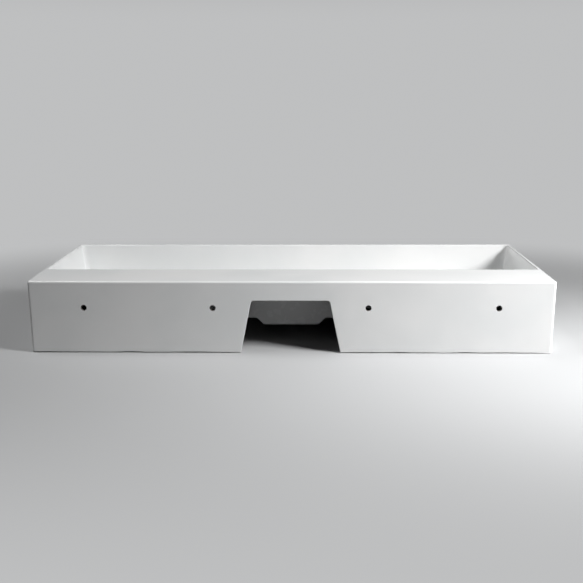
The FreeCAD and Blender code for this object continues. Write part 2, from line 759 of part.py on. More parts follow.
def add_web(body):
    """Add the bar and hub across the bore that the click cartridge screws into."""
    foot = f"({WEB_TOP_Z} - dims.web_height)"
    reach = f"(({THREAD_R} + {TUBE_BORE_R}) / 2)"
    half = "(dims.web_thickness / 2)"
    bar = new_sketch(body, "web_bar", "XY_Plane", lift=foot)
    draw_polygon(bar, [
        (f"(-{reach})", f"(-{half})"), (reach, f"(-{half})"), (reach, half), (f"(-{reach})", half),
    ])
    extrude(body, "Pad", bar, "dims.web_height")
    hub = new_sketch(body, "web_hub", "XY_Plane", lift=foot)
    draw_circle(hub, "0", "0", "(dims.web_hub_diameter / 2)")
    extrude(body, "Pad", hub, "dims.web_height")
    hole = new_sketch(body, "web_hole", "XY_Plane", lift=WEB_TOP_Z)
    draw_circle(hole, "0", "0", "(dims.stud_diameter / 2 + dims.thread_clearance)")
    extrude(body, "Pocket", hole, "dims.web_height")


def cut_thread(body):
    """Cut the thread as a row of grooves, from the plain tail up to below the windows."""
    groove = new_sketch(body, "thread", "XZ_Plane")
    low = f"({THREAD_Z} + dims.thread_pitch / 2)"
    rise = f"(dims.thread_pitch * {GROOVE_SHARE})"
    root = f"({THREAD_R} - dims.thread_depth)"
    draw_polygon(groove, [
        (THREAD_R, f"({low} - {rise})"),
        (f"({THREAD_R} + {OVERLAP})", f"({low} - {rise})"),
        (f"({THREAD_R} + {OVERLAP})", f"({low} + {rise})"),
        (THREAD_R, f"({low} + {rise})"),
        (root, low),
    ])
    cut = turn(body, "Groove", groove)
    turns = f"floor(({WINDOW_Z} - {THREAD_Z}) / dims.thread_pitch)"
    pattern = body.newObject("PartDesign::LinearPattern", "waste_body_thread_turns")
    pattern.Originals = [cut]
    pattern.Direction = (groove, ["V_Axis"])
    pattern.setExpression("Occurrences", turns)
    pattern.setExpression("Length", f"dims.thread_pitch * ({turns} - 1)")
    body.Tip = pattern
    doc.recompute()


def make_waste_seals():
    """Turn the gasket under the flange, and the cone washer and slip washer under the boss."""
    ring_body(
        "waste_flange_gasket", stand_at_drain, RING_BORE_R,
        "(dims.flange_diameter / 2 - dims.gasket_margin)", SEAT_Z, f"({SEAT_Z} + dims.gasket_thickness)",
    )
    washer_r = "(dims.cone_washer_diameter / 2)"
    spigot_r = "(dims.drain_bore / 2 - dims.ring_clearance)"
    taper = "(dims.cone_washer_height / 2)"
    turned_body("waste_cone_washer", stand_at_drain, [
        (RING_BORE_R, CONE_FOOT_Z),
        (f"({washer_r} - {taper})", CONE_FOOT_Z),
        (washer_r, f"({CONE_FOOT_Z} + {taper})"),
        (washer_r, BOSS_Z),
        (spigot_r, BOSS_Z),
        (f"({RING_BORE_R} + ({spigot_r} - {RING_BORE_R}) / 2)", f"({BOSS_Z} + dims.cone_washer_spigot)"),
        (RING_BORE_R, f"({BOSS_Z} + dims.cone_washer_spigot)"),
    ])
    ring_body(
        "waste_slip_washer", stand_at_drain, RING_BORE_R, "(dims.slip_washer_diameter / 2)",
        SLIP_FOOT_Z, CONE_FOOT_Z,
    )


def make_backnut():
    """Make the hexagon nut, chamfered at both ends of its corners."""
    body = new_body("waste_backnut")
    stand_at_drain(body)
    hexagon = new_sketch(body, "hexagon", "XY_Plane", lift=NUT_FOOT_Z)
    corner_r = "(dims.backnut_across_flats / sqrt(3))"
    angles = [f"({side} * {FULL_TURN} / {HEXAGON_SIDES} * 1deg)" for side in range(HEXAGON_SIDES)]
    draw_polygon(hexagon, [
        (f"({corner_r} * cos({angle}))", f"({corner_r} * sin({angle}))") for angle in angles
    ])
    extrude(body, "Pad", hexagon, "dims.backnut_height")
    bore = new_sketch(body, "bore", "XY_Plane", lift=SLIP_FOOT_Z)
    draw_circle(bore, "0", "0", f"({THREAD_R} + dims.thread_clearance)")
    extrude(body, "Pocket", bore, "dims.backnut_height")
    outside = f"({corner_r} + {OVERLAP})"
    inside = f"({corner_r} - 2 * dims.nut_chamfer)"
    for name, end, way in (("foot_chamfer", NUT_FOOT_Z, "+"), ("top_chamfer", SLIP_FOOT_Z, "-")):
        chamfer = new_sketch(body, name, "XZ_Plane")
        draw_polygon(chamfer, [
            (inside, end), (outside, end), (outside, f"({end} {way} dims.nut_chamfer)"),
        ])
        turn(body, "Groove", chamfer)


# ---------------------------------------------------------------- the click cartridge


def make_cartridge():
    """Turn the housing with its stud, and the collar that closes its top."""
    stud_r = "(dims.stud_diameter / 2)"
    inside_z = f"({WEB_TOP_Z} + dims.cartridge_base)"
    stud_foot = f"({WEB_TOP_Z} - dims.stud_length)"
    turned_body("cartridge_housing", stand_at_drain, [
        ("0", stud_foot),
        (stud_r, stud_foot),
        (stud_r, WEB_TOP_Z),
        (CARTRIDGE_R, WEB_TOP_Z),
        (CARTRIDGE_R, COLLAR_UNDERSIDE_Z),
        (CARTRIDGE_BORE_R, COLLAR_UNDERSIDE_Z),
        (CARTRIDGE_BORE_R, inside_z),
        ("0", inside_z),
    ])
    collar_bore_r = f"({CARTRIDGE_R} + dims.thread_clearance)"
    collar_r = f"({collar_bore_r} + dims.collar_wall)"
    skirt_z = f"({COLLAR_UNDERSIDE_Z} - dims.collar_overlap)"
    turned_body("cartridge_collar", stand_at_drain, [
        (STEM_HOLE_R, COLLAR_UNDERSIDE_Z),
        (collar_bore_r, COLLAR_UNDERSIDE_Z),
        (collar_bore_r, skirt_z),
        (collar_r, skirt_z),
        (collar_r, COLLAR_TOP_Z),
        (STEM_HOLE_R, COLLAR_TOP_Z),
    ])


def make_spring():
    """Wind the spring that lifts the plug."""
    body = new_body("cartridge_spring")
    stand_at_drain(body)
    wire_r = "(dims.spring_wire / 2)"
    wire = new_sketch(body, "wire", "XZ_Plane")
    draw_circle(
        wire, "((dims.spring_diameter - dims.spring_wire) / 2)", f"({SPRING_FOOT_Z} + {wire_r})", wire_r
    )
    rise = f"({SPRING_SPACE} - dims.spring_wire)"
    coil = body.newObject("PartDesign::AdditiveHelix", "cartridge_spring_coil")
    coil.Profile = wire
    coil.ReferenceAxis = (wire, ["V_Axis"])
    coil.Mode = "pitch-height-angle"
    coil.setExpression("Height", rise)
    coil.setExpression("Pitch", f"{rise} / dims.spring_turns")
    doc.recompute()


def make_latch_ring():
    """Make the toothed ring that turns a step at each push of the plug."""
    body = ring_body("latch_ring", stand_at_drain, STEM_HOLE_R, PISTON_R, LATCH_FOOT_Z, LATCH_TOP_Z)
    tooth = new_sketch(body, "tooth", "YZ_Plane")
    run = "(dims.latch_tooth_width / 2)"
    above = f"({LATCH_TOP_Z} + {OVERLAP})"
    draw_polygon(tooth, [
        (f"(-{run})", above),
        (f"(-{run})", LATCH_TOP_Z),
        (run, f"({LATCH_TOP_Z} - dims.latch_tooth_depth)"),
        (run, above),
    ])
    cut = extrude(body, "Pocket", tooth, PISTON_R, reverse=True)
    pattern = body.newObject("PartDesign::PolarPattern", "latch_ring_teeth")
    pattern.Originals = [cut]
    pattern.Axis = (tooth, ["V_Axis"])
    pattern.Angle = FULL_TURN
    pattern.setExpression("Occurrences", "dims.latch_teeth")
    body.Tip = pattern
    doc.recompute()


# ---------------------------------------------------------------- the plug


def make_plug():
    """Turn the stem with its piston, the crowned cap and the seal under it."""
    turned_body("plug_stem", stand_at_drain, [
        ("0", PISTON_FOOT_Z),
        (PISTON_R, PISTON_FOOT_Z),
        (PISTON_R, PISTON_TOP_Z),
        (STEM_R, PISTON_TOP_Z),
        (STEM_R, STEM_TOP_Z),
        ("0", STEM_TOP_Z),
    ])
    cap = new_body("plug_cap")
    stand_at_drain(cap)
    profile = new_sketch(cap, "profile", "XZ_Plane")
    cap_r = "(dims.cap_diameter / 2)"
    boss_r = "(dims.cap_boss_diameter / 2)"
    boss_foot = f"({CAP_FOOT_Z} - dims.cap_boss_length)"
    socket_r = f"({STEM_R} + dims.thread_clearance)"
    socket_top = f"({STEM_TOP_Z} + dims.end_clearance)"
    draw_crowned_profile(profile, [
        ("0", f"({CAP_EDGE_Z} + dims.cap_crown)"),
        ("0", socket_top),
        (socket_r, socket_top),
        (socket_r, boss_foot),
        (boss_r, boss_foot),
        (boss_r, CAP_FOOT_Z),
        (cap_r, CAP_FOOT_Z),
        (cap_r, CAP_EDGE_Z),
    ], f"(({cap_r} * {cap_r} + dims.cap_crown * dims.cap_crown) / (2 * dims.cap_crown))")
    turned = turn(cap, "Revolution", profile)
    edge_radius = limited("dims.cap_edge_radius", f"dims.cap_edge_height * {ROUNDING_SHARE}")
    round_edges(cap, turned, "cap_edge", on_ring(cap_r, CAP_EDGE_Z), edge_radius)
    ring_body(
        "plug_seal", stand_at_drain, f"({boss_r} + dims.ring_clearance)", "(dims.seal_diameter / 2)",
        SEAL_FOOT_Z, CAP_FOOT_Z,
    )


# ---------------------------------------------------------------- the overflow trim


def make_overflow():
    """Turn the trim ring, and the slit clip that holds its spigot in the casting."""
    trim_r = "(dims.trim_diameter / 2)"
    turned_body("overflow_trim", stand_at_overflow, [
        (TRIM_BORE_R, "(-dims.trim_spigot_length)"),
        (SPIGOT_R, "(-dims.trim_spigot_length)"),
        (SPIGOT_R, "0"),
        (trim_r, "0"),
        (trim_r, "dims.trim_edge_height"),
        (f"({trim_r} - dims.trim_shoulder_width)", "dims.trim_shoulder_height"),
        (f"(({trim_r} + {TRIM_BORE_R}) / 2)", "dims.trim_thickness"),
        (f"({TRIM_BORE_R} + dims.trim_shoulder_width)", "dims.trim_shoulder_height"),
        (TRIM_BORE_R, "dims.trim_edge_height"),
    ])
    clip = ring_body(
        "overflow_clip", stand_at_overflow, CLIP_BORE_R, CLIP_R, "(-dims.clip_length)",
        "(-dims.end_clearance)",
    )
    slit = new_sketch(clip, "slit", "XZ_Plane")
    half = "(dims.clip_slit / 2)"
    top = "(-dims.clip_band)"
    below = f"(-dims.clip_length - {OVERLAP})"
    draw_polygon(slit, [(f"(-{half})", below), (half, below), (half, top), (f"(-{half})", top)])
    cut = extrude(clip, "Pocket", slit, "(2 * dims.overflow_bore)", both_ways=True)
    pattern = clip.newObject("PartDesign::PolarPattern", "overflow_clip_slits")
    pattern.Originals = [cut]
    pattern.Axis = (slit, ["V_Axis"])
    pattern.Angle = FULL_TURN / 2
    pattern.Occurrences = SLIT_PAIRS
    clip.Tip = pattern
    doc.recompute()


# ---------------------------------------------------------------- the whole sink


def write_parts():
    """Check every object, then write each body's solid to a file of its own name."""
    doc.recompute()
    for item in doc.Objects:
        if "Invalid" in item.State or "Error" in item.State:
            raise RuntimeError(f"{item.Label} failed: {item.State}")
    bodies = [item for item in doc.Objects if item.isDerivedFrom("PartDesign::Body")]
    for body in bodies:
        if body.Shape.isNull() or not body.Shape.isValid() or len(body.Shape.Solids) != 1:
            raise RuntimeError(f"{body.Label} is not one valid solid")
    os.makedirs("parts", exist_ok=True)
    for body in bodies:
        body.Shape.exportStep(f"parts/{body.Label}.step")
        print(f"{body.Label}: {body.Shape.Volume / 1000:.3f} cm3")


fill_sheet()
make_basin()
make_waste_body()
make_waste_seals()
make_backnut()
make_cartridge()
make_spring()
make_latch_ring()
make_plug()
make_overflow()
write_parts()
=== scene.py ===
"""Looks of a wall-hung trough basin, its click waste and its overflow.

Metres, +Z up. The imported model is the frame: the casting stands on its skirt at z = 0, the wall is at
+Y and the user stands at -Y. The casting is shown by a finer copy of its own mesh, which is faintly
uneven as fired clay is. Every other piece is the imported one, in a finish of its own.
"""
import logging
import math
from dataclasses import dataclass, field
from enum import Enum

import bmesh
import bpy
from mathutils import Euler, Matrix, Vector, noise


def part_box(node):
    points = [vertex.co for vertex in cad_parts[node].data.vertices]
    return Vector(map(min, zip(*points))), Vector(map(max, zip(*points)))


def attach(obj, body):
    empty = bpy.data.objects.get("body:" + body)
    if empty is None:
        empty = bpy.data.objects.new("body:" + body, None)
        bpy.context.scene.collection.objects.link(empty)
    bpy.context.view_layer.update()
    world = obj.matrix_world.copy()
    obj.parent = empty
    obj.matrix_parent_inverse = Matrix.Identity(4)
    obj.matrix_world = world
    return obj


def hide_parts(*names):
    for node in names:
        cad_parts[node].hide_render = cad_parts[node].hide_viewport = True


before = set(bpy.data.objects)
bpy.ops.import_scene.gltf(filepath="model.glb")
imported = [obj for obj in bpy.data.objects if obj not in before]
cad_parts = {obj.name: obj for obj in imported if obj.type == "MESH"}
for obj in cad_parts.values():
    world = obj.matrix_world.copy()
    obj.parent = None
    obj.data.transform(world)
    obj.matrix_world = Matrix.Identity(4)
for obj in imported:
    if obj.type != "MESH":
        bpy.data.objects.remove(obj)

Colour = tuple[float, float, float]
Point = tuple[float, float, float]
Socket = bpy.types.NodeSocket
log = logging.getLogger("trough_basin")


class Slot(Enum):
    """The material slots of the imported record."""

    GLAZE = "white_glaze"
    CHROME = "chrome_plate"
    BRASS = "bare_brass"
    RUBBER = "black_rubber"
    WHITE_ACETAL = "white_acetal"
    GREY_ACETAL = "grey_acetal"
    SPRING = "spring_wire"


class Blend(Enum):
    """How one value is laid over another in a node graph."""

    ADD = "ADD"
    TIMES = "MULTIPLY"
    LESS = "SUBTRACT"
    GREATEST = "MAXIMUM"
    POWER = "POWER"


def smooth_step(low: float, high: float, value: float) -> float:
    """Ease a value from 0 at low to 1 at high.

    Args:
        low: The value that gives 0.
        high: The value that gives 1. It may be the smaller of the two.
        value: The value to ease.

    Returns:
        A number from 0 to 1.
    """
    share = min(max((value - low) / (high - low), 0.0), 1.0)
    return share * share * (3.0 - 2.0 * share)


def put_in_scene(name: str, data: bpy.types.ID) -> bpy.types.Object:
    """Make an object and link it to the scene.

    Args:
        name: The object's name.
        data: Its mesh, lamp or camera.

    Returns:
        The new object.
    """
    thing = bpy.data.objects.new(name, data)
    bpy.context.scene.collection.objects.link(thing)
    return thing


# ---------------------------------------------------------------- node graphs


@dataclass(frozen=True)
class Grain:
    """Soft noise: its lumps to a metre, its finer layers, and the squeeze on each axis if it has one."""

    lumps: float
    layers: float = 2.0
    squeeze: Point | None = None


@dataclass(frozen=True)
class Patches:
    """Grain that is cut to patches: the noise value where they start, and where they are full."""

    start: float
    full: float
    grain: Grain


@dataclass(frozen=True)
class Skin:
    """Grain that stands out of the surface, by a depth in metres."""

    depth: float
    grain: Grain


class Graph:
    """A material's node tree, with short calls for the nodes that the finishes share."""

    def __init__(self, name: str) -> None:
        """Start a material with one Principled shader.

        Args:
            name: The material's name.
        """
        self.material = bpy.data.materials.new(name)
        self.material.use_nodes = True
        self.tree = self.material.node_tree
        self.tree.nodes.clear()
        self.output = self.tree.nodes.new("ShaderNodeOutputMaterial")
        self.shader = self.tree.nodes.new("ShaderNodeBsdfPrincipled")
        self.join(self.shader.outputs["BSDF"], self.output.inputs["Surface"])
        coordinates = self.tree.nodes.new("ShaderNodeTexCoord").outputs
        self.place, self.facing = coordinates["Object"], coordinates["Normal"]

    def join(self, value: "Socket | float | Colour", target: Socket) -> None:
        """Link a socket to an input, or set the input to a constant.

        Args:
            value: The socket, number or colour to use.
            target: The input that takes it.
        """
        if isinstance(value, bpy.types.NodeSocket):
            self.tree.links.new(value, target)
        elif isinstance(value, tuple) and target.type == "RGBA":
            target.default_value = (*value, 1.0)
        else:
            target.default_value = value

    def math(self, kind: Blend, first: "Socket | float", second: "Socket | float") -> Socket:
        """Work out one value from two.

        Args:
            kind: The operation.
            first: The first value.
            second: The second value.

        Returns:
            The result's socket.
        """
        node = self.tree.nodes.new("ShaderNodeMath")
        node.operation = kind.value
        self.join(first, node.inputs[0])
        self.join(second, node.inputs[1])
        return node.outputs[0]

    def without_sign(self, value: Socket) -> Socket:
        """Return a value's distance from 0."""
        return self.math(Blend.GREATEST, value, self.math(Blend.TIMES, value, -1.0))

    def straight_way(self, across: Socket, along: Socket) -> Socket:
        """Return the straight distance that two steps at right angles make."""
        squares = [self.math(Blend.TIMES, step, step) for step in (across, along)]
        return self.math(Blend.POWER, self.math(Blend.ADD, *squares), 0.5)

    def axes(self, value: Socket) -> tuple[Socket, Socket, Socket]:
        """Split a point or a normal into its x, y and z.

        Args:
            value: The point or the normal.

        Returns:
            The three numbers' sockets.
        """
        node = self.tree.nodes.new("ShaderNodeSeparateXYZ")
        self.join(value, node.inputs[0])
        return node.outputs[0], node.outputs[1], node.outputs[2]

    def squeezed(self, squeeze: Point) -> Socket:
        """Scale the surface point, so that a texture runs longer one way.

        Args:
            squeeze: The factor on each axis.

        Returns:
            The scaled point's socket.
        """
        node = self.tree.nodes.new("ShaderNodeMapping")
        self.join(self.place, node.inputs["Vector"])
        node.inputs["Scale"].default_value = squeeze
        return node.outputs[0]

    def noise(self, grain: Grain) -> Socket:
        """Add soft noise.

        Args:
            grain: How fine it is.

        Returns:
            The noise's value, around a half.
        """
        node = self.tree.nodes.new("ShaderNodeTexNoise")
        place = self.place if grain.squeeze is None else self.squeezed(grain.squeeze)
        self.join(place, node.inputs["Vector"])
        node.inputs["Scale"].default_value = grain.lumps
        node.inputs["Detail"].default_value = grain.layers
        return node.outputs[0]

    def cells(self, count: float) -> tuple[Socket, Socket]:
        """Scatter points, one to a cell.

        Args:
            count: How many cells there are in a metre.

        Returns:
            The distance to the nearest point, in cells, and that cell's random colour.
        """
        node = self.tree.nodes.new("ShaderNodeTexVoronoi")
        self.join(self.place, node.inputs["Vector"])
        node.inputs["Scale"].default_value = count
        return node.outputs["Distance"], node.outputs["Color"]

    def ramp(self, value: Socket, low: float, high: float, top: float = 1.0) -> Socket:
        """Ease a value from 0 at low to top at high.

        Args:
            value: The value to ease.
            low: Where the result is 0.
            high: Where the result is top. It may be the smaller of the two.
            top: The largest result.

        Returns:
            The eased value's socket.
        """
        node = self.tree.nodes.new("ShaderNodeMapRange")
        node.interpolation_type = "SMOOTHSTEP"
        self.join(value, node.inputs["Value"])
        node.inputs["From Min"].default_value = min(low, high)
        node.inputs["From Max"].default_value = max(low, high)
        node.inputs["To Min"].default_value = 0.0 if low < high else top
        node.inputs["To Max"].default_value = top if low < high else 0.0
        return node.outputs[0]

    def patches(self, patches: Patches, top: float = 1.0) -> Socket:
        """Lay soft patches over the surface.

        Args:
            patches: Their grain, and where they start and are full.
            top: The value inside a patch.

        Returns:
            The socket of a value that is 0 between the patches.
        """
        return self.ramp(self.noise(patches.grain), patches.start, patches.full, top)

    def between(self, share: Socket, first: "Socket | float", second: "Socket | float") -> Socket:
        """Mix two numbers.

        Args:
            share: How much of the second shows.
            first: The number where the share is 0.
            second: The number where the share is 1.

        Returns:
            The mixed number's socket.
        """
        node = self.tree.nodes.new("ShaderNodeMix")
        node.data_type = "FLOAT"
        for value, target in zip((share, first, second), node.inputs[:1] + node.inputs[2:4]):
            self.join(value, target)
        return node.outputs[0]

    def tint(self, share: Socket, first: "Socket | Colour", second: "Socket | Colour") -> Socket:
        """Mix two colours.

        Args:
            share: How much of the second shows.
            first: The colour where the share is 0.
            second: The colour where the share is 1.

        Returns:
            The mixed colour's socket.
        """
        node = self.tree.nodes.new("ShaderNodeMix")
        node.data_type = "RGBA"
        for value, target in zip((share, first, second), (node.inputs[0], node.inputs[6], node.inputs[7])):
            self.join(value, target)
        return node.outputs[2]

    def relief(self, height: Socket, depth: float, under: "Socket | None" = None) -> Socket:
        """Turn a height into a bumped normal.

        Args:
            height: The height, from 0 to 1.
            depth: What a height of 1 is, in metres.
            under: A normal from an earlier relief to lay it over.

        Returns:
            The normal's socket.
        """
        node = self.tree.nodes.new("ShaderNodeBump")
        node.inputs["Strength"].default_value = 1.0
        node.inputs["Distance"].default_value = depth
        self.join(height, node.inputs["Height"])
        if under is not None:
            self.join(under, node.inputs["Normal"])
        return node.outputs[0]

    def skin(self, skin: Skin, under: "Socket | None" = None) -> Socket:
        """Give the surface a grained skin.

        Args:
            skin: The grain and its depth.
            under: A normal from an earlier relief to lay it over.

        Returns:
            The normal's socket.
        """
        return self.relief(self.noise(skin.grain), skin.depth, under)

    def dress(self, **values: "Socket | float") -> bpy.types.Material:
        """Link or set the shader's inputs, with underscores for the spaces in their names.

        Args:
            values: The socket or the constant for each input.

        Returns:
            The finished material.
        """
        for name, value in values.items():
            self.join(value, self.shader.inputs[name.replace("_", " ")])
        return self.material


# ---------------------------------------------------------------- finishes


@dataclass(frozen=True)
class Glaze:
    """White glaze over fireclay: glossy outside, thinly sprayed below, bare on the foot and in the bores.

    Its zones are told apart by where they lie on the casting. The dark grey below and the near-black in the
    bores are painted shade.
    """

    white: Colour = (0.86, 0.862, 0.858)
    pooled: Colour = (0.80, 0.812, 0.812)
    # Painted shade: the dark grey laid over the hollow under the bowl, in patches like a thin spray of
    # glaze.
    spray_and_shade_grey: Colour = (0.46, 0.457, 0.452)
    clay: Colour = (0.62, 0.54, 0.43)
    # Painted shade: near-black on the walls of the bolt holes, over their bare clay.
    bare_and_shaded_bore: Colour = (0.20, 0.19, 0.18)
    speck: Colour = (0.30, 0.25, 0.20)
    gloss: float = 0.05
    dull: float = 0.42
    bare: float = 0.9
    refraction: float = 1.5
    pools: Patches = Patches(0.35, 0.7, Grain(4.0, 3.0))
    # Patches where the painted shade of the hollow is weaker.
    spray_and_shade_patches: Patches = Patches(0.3, 0.7, Grain(6.0))
    least_spray_and_shade: float = 0.7
    dull_spots: Patches = Patches(0.2, 0.8, Grain(60.0, 3.0))
    wave: Skin = Skin(0.0006, Grain(7.0, 1.0))
    peel: Skin = Skin(0.000006, Grain(160.0, 1.0))
    grit: Skin = Skin(0.0001, Grain(900.0, 3.0))
    speck_cells: float = 60.0
    speck_edge: tuple[float, float] = (0.030, 0.012)
    speck_strength: float = 0.55
    speck_choice: tuple[float, float] = (0.80, 0.86)
    foot_line: float = 0.004
    foot_slope: float = -0.85
    slope_blur: float = 0.1
    line_blur: float = 0.001
    zone_blur: float = 0.002
    under_line: float = 0.154
    hollow_top: float = 0.0635
    rim: float = 0.0135
    rear_wall: float = 0.016
    bowl_edge: float = 0.097
    bowl_wall: float = 0.014
    bowl_draft: float = 10.0
    bores: tuple[float, float] = (0.473, 0.1775)
    bore_height: float = 0.1075
    bore_radius: float = 0.0065
    bore_edge: tuple[float, float] = (0.0006, 0.0003)

    def material(self) -> bpy.types.Material:
        """Build the material, from the white glaze to what lies over it or lacks it, with painted shade in
        the hollow and the bores.
        """
        graph = Graph(Slot.GLAZE.value)
        below, foot = self.zones(graph)
        bare_and_shaded_bore = self.in_bore(graph)
        # Painted shade of the hollow: patches set how much of its dark grey shows.
        spray_and_shade_share = graph.between(graph.patches(self.spray_and_shade_patches), 1.0, self.least_spray_and_shade)
        colour = graph.tint(graph.patches(self.pools), self.white, self.pooled)
        colour = graph.tint(self.specks(graph), colour, self.speck)
        # Painted shade: grey the hollow under the bowl and behind it.
        colour = graph.tint(graph.math(Blend.TIMES, below, spray_and_shade_share), colour, self.spray_and_shade_grey)
        colour = graph.tint(foot, colour, self.clay)
        # Painted shade: darken the bolt holes' walls to near-black.
        colour = graph.tint(bare_and_shaded_bore, colour, self.bare_and_shaded_bore)
        shine = graph.between(below, self.gloss, graph.patches(self.dull_spots, self.dull))
        rough = graph.between(graph.math(Blend.GREATEST, foot, bare_and_shaded_bore), shine, self.bare)
        grit = graph.math(Blend.TIMES, graph.noise(self.grit.grain), graph.math(Blend.GREATEST, below, foot))
        normal = graph.relief(grit, self.grit.depth, graph.skin(self.peel, graph.skin(self.wave)))
        return graph.dress(Base_Color=colour, Roughness=rough, Normal=normal, IOR=self.refraction)

    def zones(self, graph: Graph) -> tuple[Socket, Socket]:
        """Tell the sprayed hollow, which is greyed as painted shade, and the bare foot from the glazed
        outside.

        Args:
            graph: The material's graph.

        Returns:
            The share of sprayed underside, which is greyed as painted shade, and the share of bare foot.
        """
        x, y, z = graph.axes(graph.place)
        low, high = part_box("trough_basin")
        foot = graph.ramp(graph.axes(graph.facing)[2], self.foot_slope, self.foot_slope - self.slope_blur)
        foot = graph.math(Blend.TIMES, foot, graph.ramp(z, self.foot_line, self.foot_line - self.line_blur))
        inside = None
        for value, face, blur in (
            (x, low.x + self.rim, self.zone_blur),
            (x, high.x - self.rim, -self.zone_blur),
            (y, low.y + self.rim, self.zone_blur),
            (y, high.y - self.rear_wall, -self.zone_blur),
        ):
            share = graph.ramp(value, face, face + blur)
            inside = share if inside is None else graph.math(Blend.TIMES, inside, share)
        under_bowl = graph.ramp(z, self.hollow_top, self.hollow_top - self.zone_blur)
        hollow = graph.math(Blend.GREATEST, under_bowl, self.behind_bowl(graph, y, z))
        return graph.math(Blend.TIMES, inside, hollow), foot

    def behind_bowl(self, graph: Graph, y: Socket, z: Socket) -> Socket:
        """Tell the pipe space behind the bowl's leaning rear wall and under the ledge.

        Args:
            graph: The material's graph.
            y: The surface point's y.
            z: The surface point's z.

        Returns:
            The share of pipe space.
        """
        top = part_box("trough_basin")[1].z
        slope = math.tan(math.radians(self.bowl_draft))
        upright = graph.math(Blend.LESS, y, graph.math(Blend.TIMES, z, slope))
        middle = self.bowl_edge + self.bowl_wall / 2 - top * slope
        past_wall = graph.ramp(upright, middle, middle + self.zone_blur)
        under_ledge = graph.ramp(z, self.under_line + self.zone_blur, self.under_line)
        return graph.math(Blend.TIMES, past_wall, under_ledge)

    def in_bore(self, graph: Graph) -> Socket:
        """Tell the walls of the four bolt holes, which are two alike pairs. Their walls are bare, and
        darkened as painted shade.

        Args:
            graph: The material's graph.

        Returns:
            The share of bore wall.
        """
        x, y, z = graph.axes(graph.place)
        wall_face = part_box("trough_basin")[1].y - self.rear_wall
        aside = graph.without_sign(x)
        above = graph.math(Blend.LESS, z, self.bore_height)
        outer, inner = self.bore_edge
        inside = None
        for place in self.bores:
            away = graph.straight_way(graph.math(Blend.LESS, aside, place), above)
            share = graph.ramp(away, self.bore_radius + outer, self.bore_radius + inner)
            inside = share if inside is None else graph.math(Blend.GREATEST, inside, share)
        return graph.math(Blend.TIMES, inside, graph.ramp(y, wall_face, wall_face + self.line_blur))

    def specks(self, graph: Graph) -> Socket:
        """Scatter a few fine iron specks under the glaze.

        Args:
            graph: The material's graph.

        Returns:
            The share of speck.
        """
        distance, colour = graph.cells(self.speck_cells)
        dot = graph.ramp(distance, *self.speck_edge, self.speck_strength)
        return graph.math(Blend.TIMES, dot, graph.ramp(colour, *self.speck_choice))


@dataclass(frozen=True)
class Chrome:
    """Polished chrome plate with fine wipe marks and dried water spots."""

    bright: Colour = (0.80, 0.81, 0.82)
    dulled: Colour = (0.70, 0.71, 0.72)
    polish: float = 0.045
    wiped: float = 0.13
    streaks: Patches = Patches(0.45, 0.8, Grain(1.0, 4.0, (900.0, 120.0, 900.0)))
    spot_cells: float = 210.0
    spot_outside: tuple[float, float] = (0.34, 0.26)
    spot_inside: tuple[float, float] = (0.18, 0.27)
    splashed: Patches = Patches(0.5, 0.66, Grain(70.0))
    skin: Skin = Skin(0.000004, Grain(420.0))

    def material(self) -> bpy.types.Material:
        """Build the material."""
        graph = Graph(Slot.CHROME.value)
        distance, _colour = graph.cells(self.spot_cells)
        ring = graph.math(
            Blend.TIMES, graph.ramp(distance, *self.spot_outside), graph.ramp(distance, *self.spot_inside)
        )
        spot = graph.math(Blend.TIMES, ring, graph.patches(self.splashed))
        worn = graph.math(Blend.GREATEST, graph.patches(self.streaks), spot)
        return graph.dress(
            Base_Color=graph.tint(worn, self.bright, self.dulled),
            Roughness=graph.between(worn, self.polish, self.wiped),
            Normal=graph.skin(self.skin),
            Metallic=1.0,
        )


@dataclass(frozen=True)
class Brass:
    """Turned brass with tool rings and a light brown tarnish."""

    metal: Colour = (0.74, 0.57, 0.30)
    tarnish: Colour = (0.42, 0.29, 0.15)
    cut: float = 0.26
    stained: float = 0.48
    brushed: float = 0.3
    stains: Patches = Patches(0.48, 0.72, Grain(110.0, 5.0))
    rings: Skin = Skin(0.00004, Grain(1.0, 2.0, (60.0, 60.0, 4200.0)))

    def material(self) -> bpy.types.Material:
        """Build the material."""
        graph = Graph(Slot.BRASS.value)
        stain = graph.patches(self.stains)
        return graph.dress(
            Base_Color=graph.tint(stain, self.metal, self.tarnish),
            Roughness=graph.between(stain, self.cut, self.stained),
            Normal=graph.skin(self.rings),
            Metallic=1.0,
            Anisotropic=self.brushed,
        )


@dataclass(frozen=True)
class Moulded:
    """A moulded rubber or plastic: a face colour with patches of another, and a fine skin."""

    slot: Slot
    face: Colour
    patched: Colour
    patches: Patches
    roughness: tuple[float, float]
    skin: Skin

    def material(self) -> bpy.types.Material:
        """Build the material."""
        graph = Graph(self.slot.value)
        patch = graph.patches(self.patches)
        return graph.dress(
            Base_Color=graph.tint(patch, self.face, self.patched),
            Roughness=graph.between(patch, *self.roughness),
            Normal=graph.skin(self.skin),
        )


@dataclass(frozen=True)
class SpringWire:
    """Drawn stainless wire with fine lines along its turns."""

    steel: Colour = (0.60, 0.60, 0.61)
    drawn: Colour = (0.44, 0.44, 0.46)
    roughness: tuple[float, float] = (0.22, 0.36)
    lines: Patches = Patches(0.35, 0.7, Grain(1.0, 3.0, (260.0, 260.0, 5200.0)))
    line_depth: float = 0.00001

    def material(self) -> bpy.types.Material:
        """Build the material."""
        graph = Graph(Slot.SPRING.value)
        lines = graph.patches(self.lines)
        return graph.dress(
            Base_Color=graph.tint(lines, self.steel, self.drawn),
            Roughness=graph.between(lines, *self.roughness),
            Normal=graph.relief(lines, self.line_depth),
            Metallic=1.0,
        )


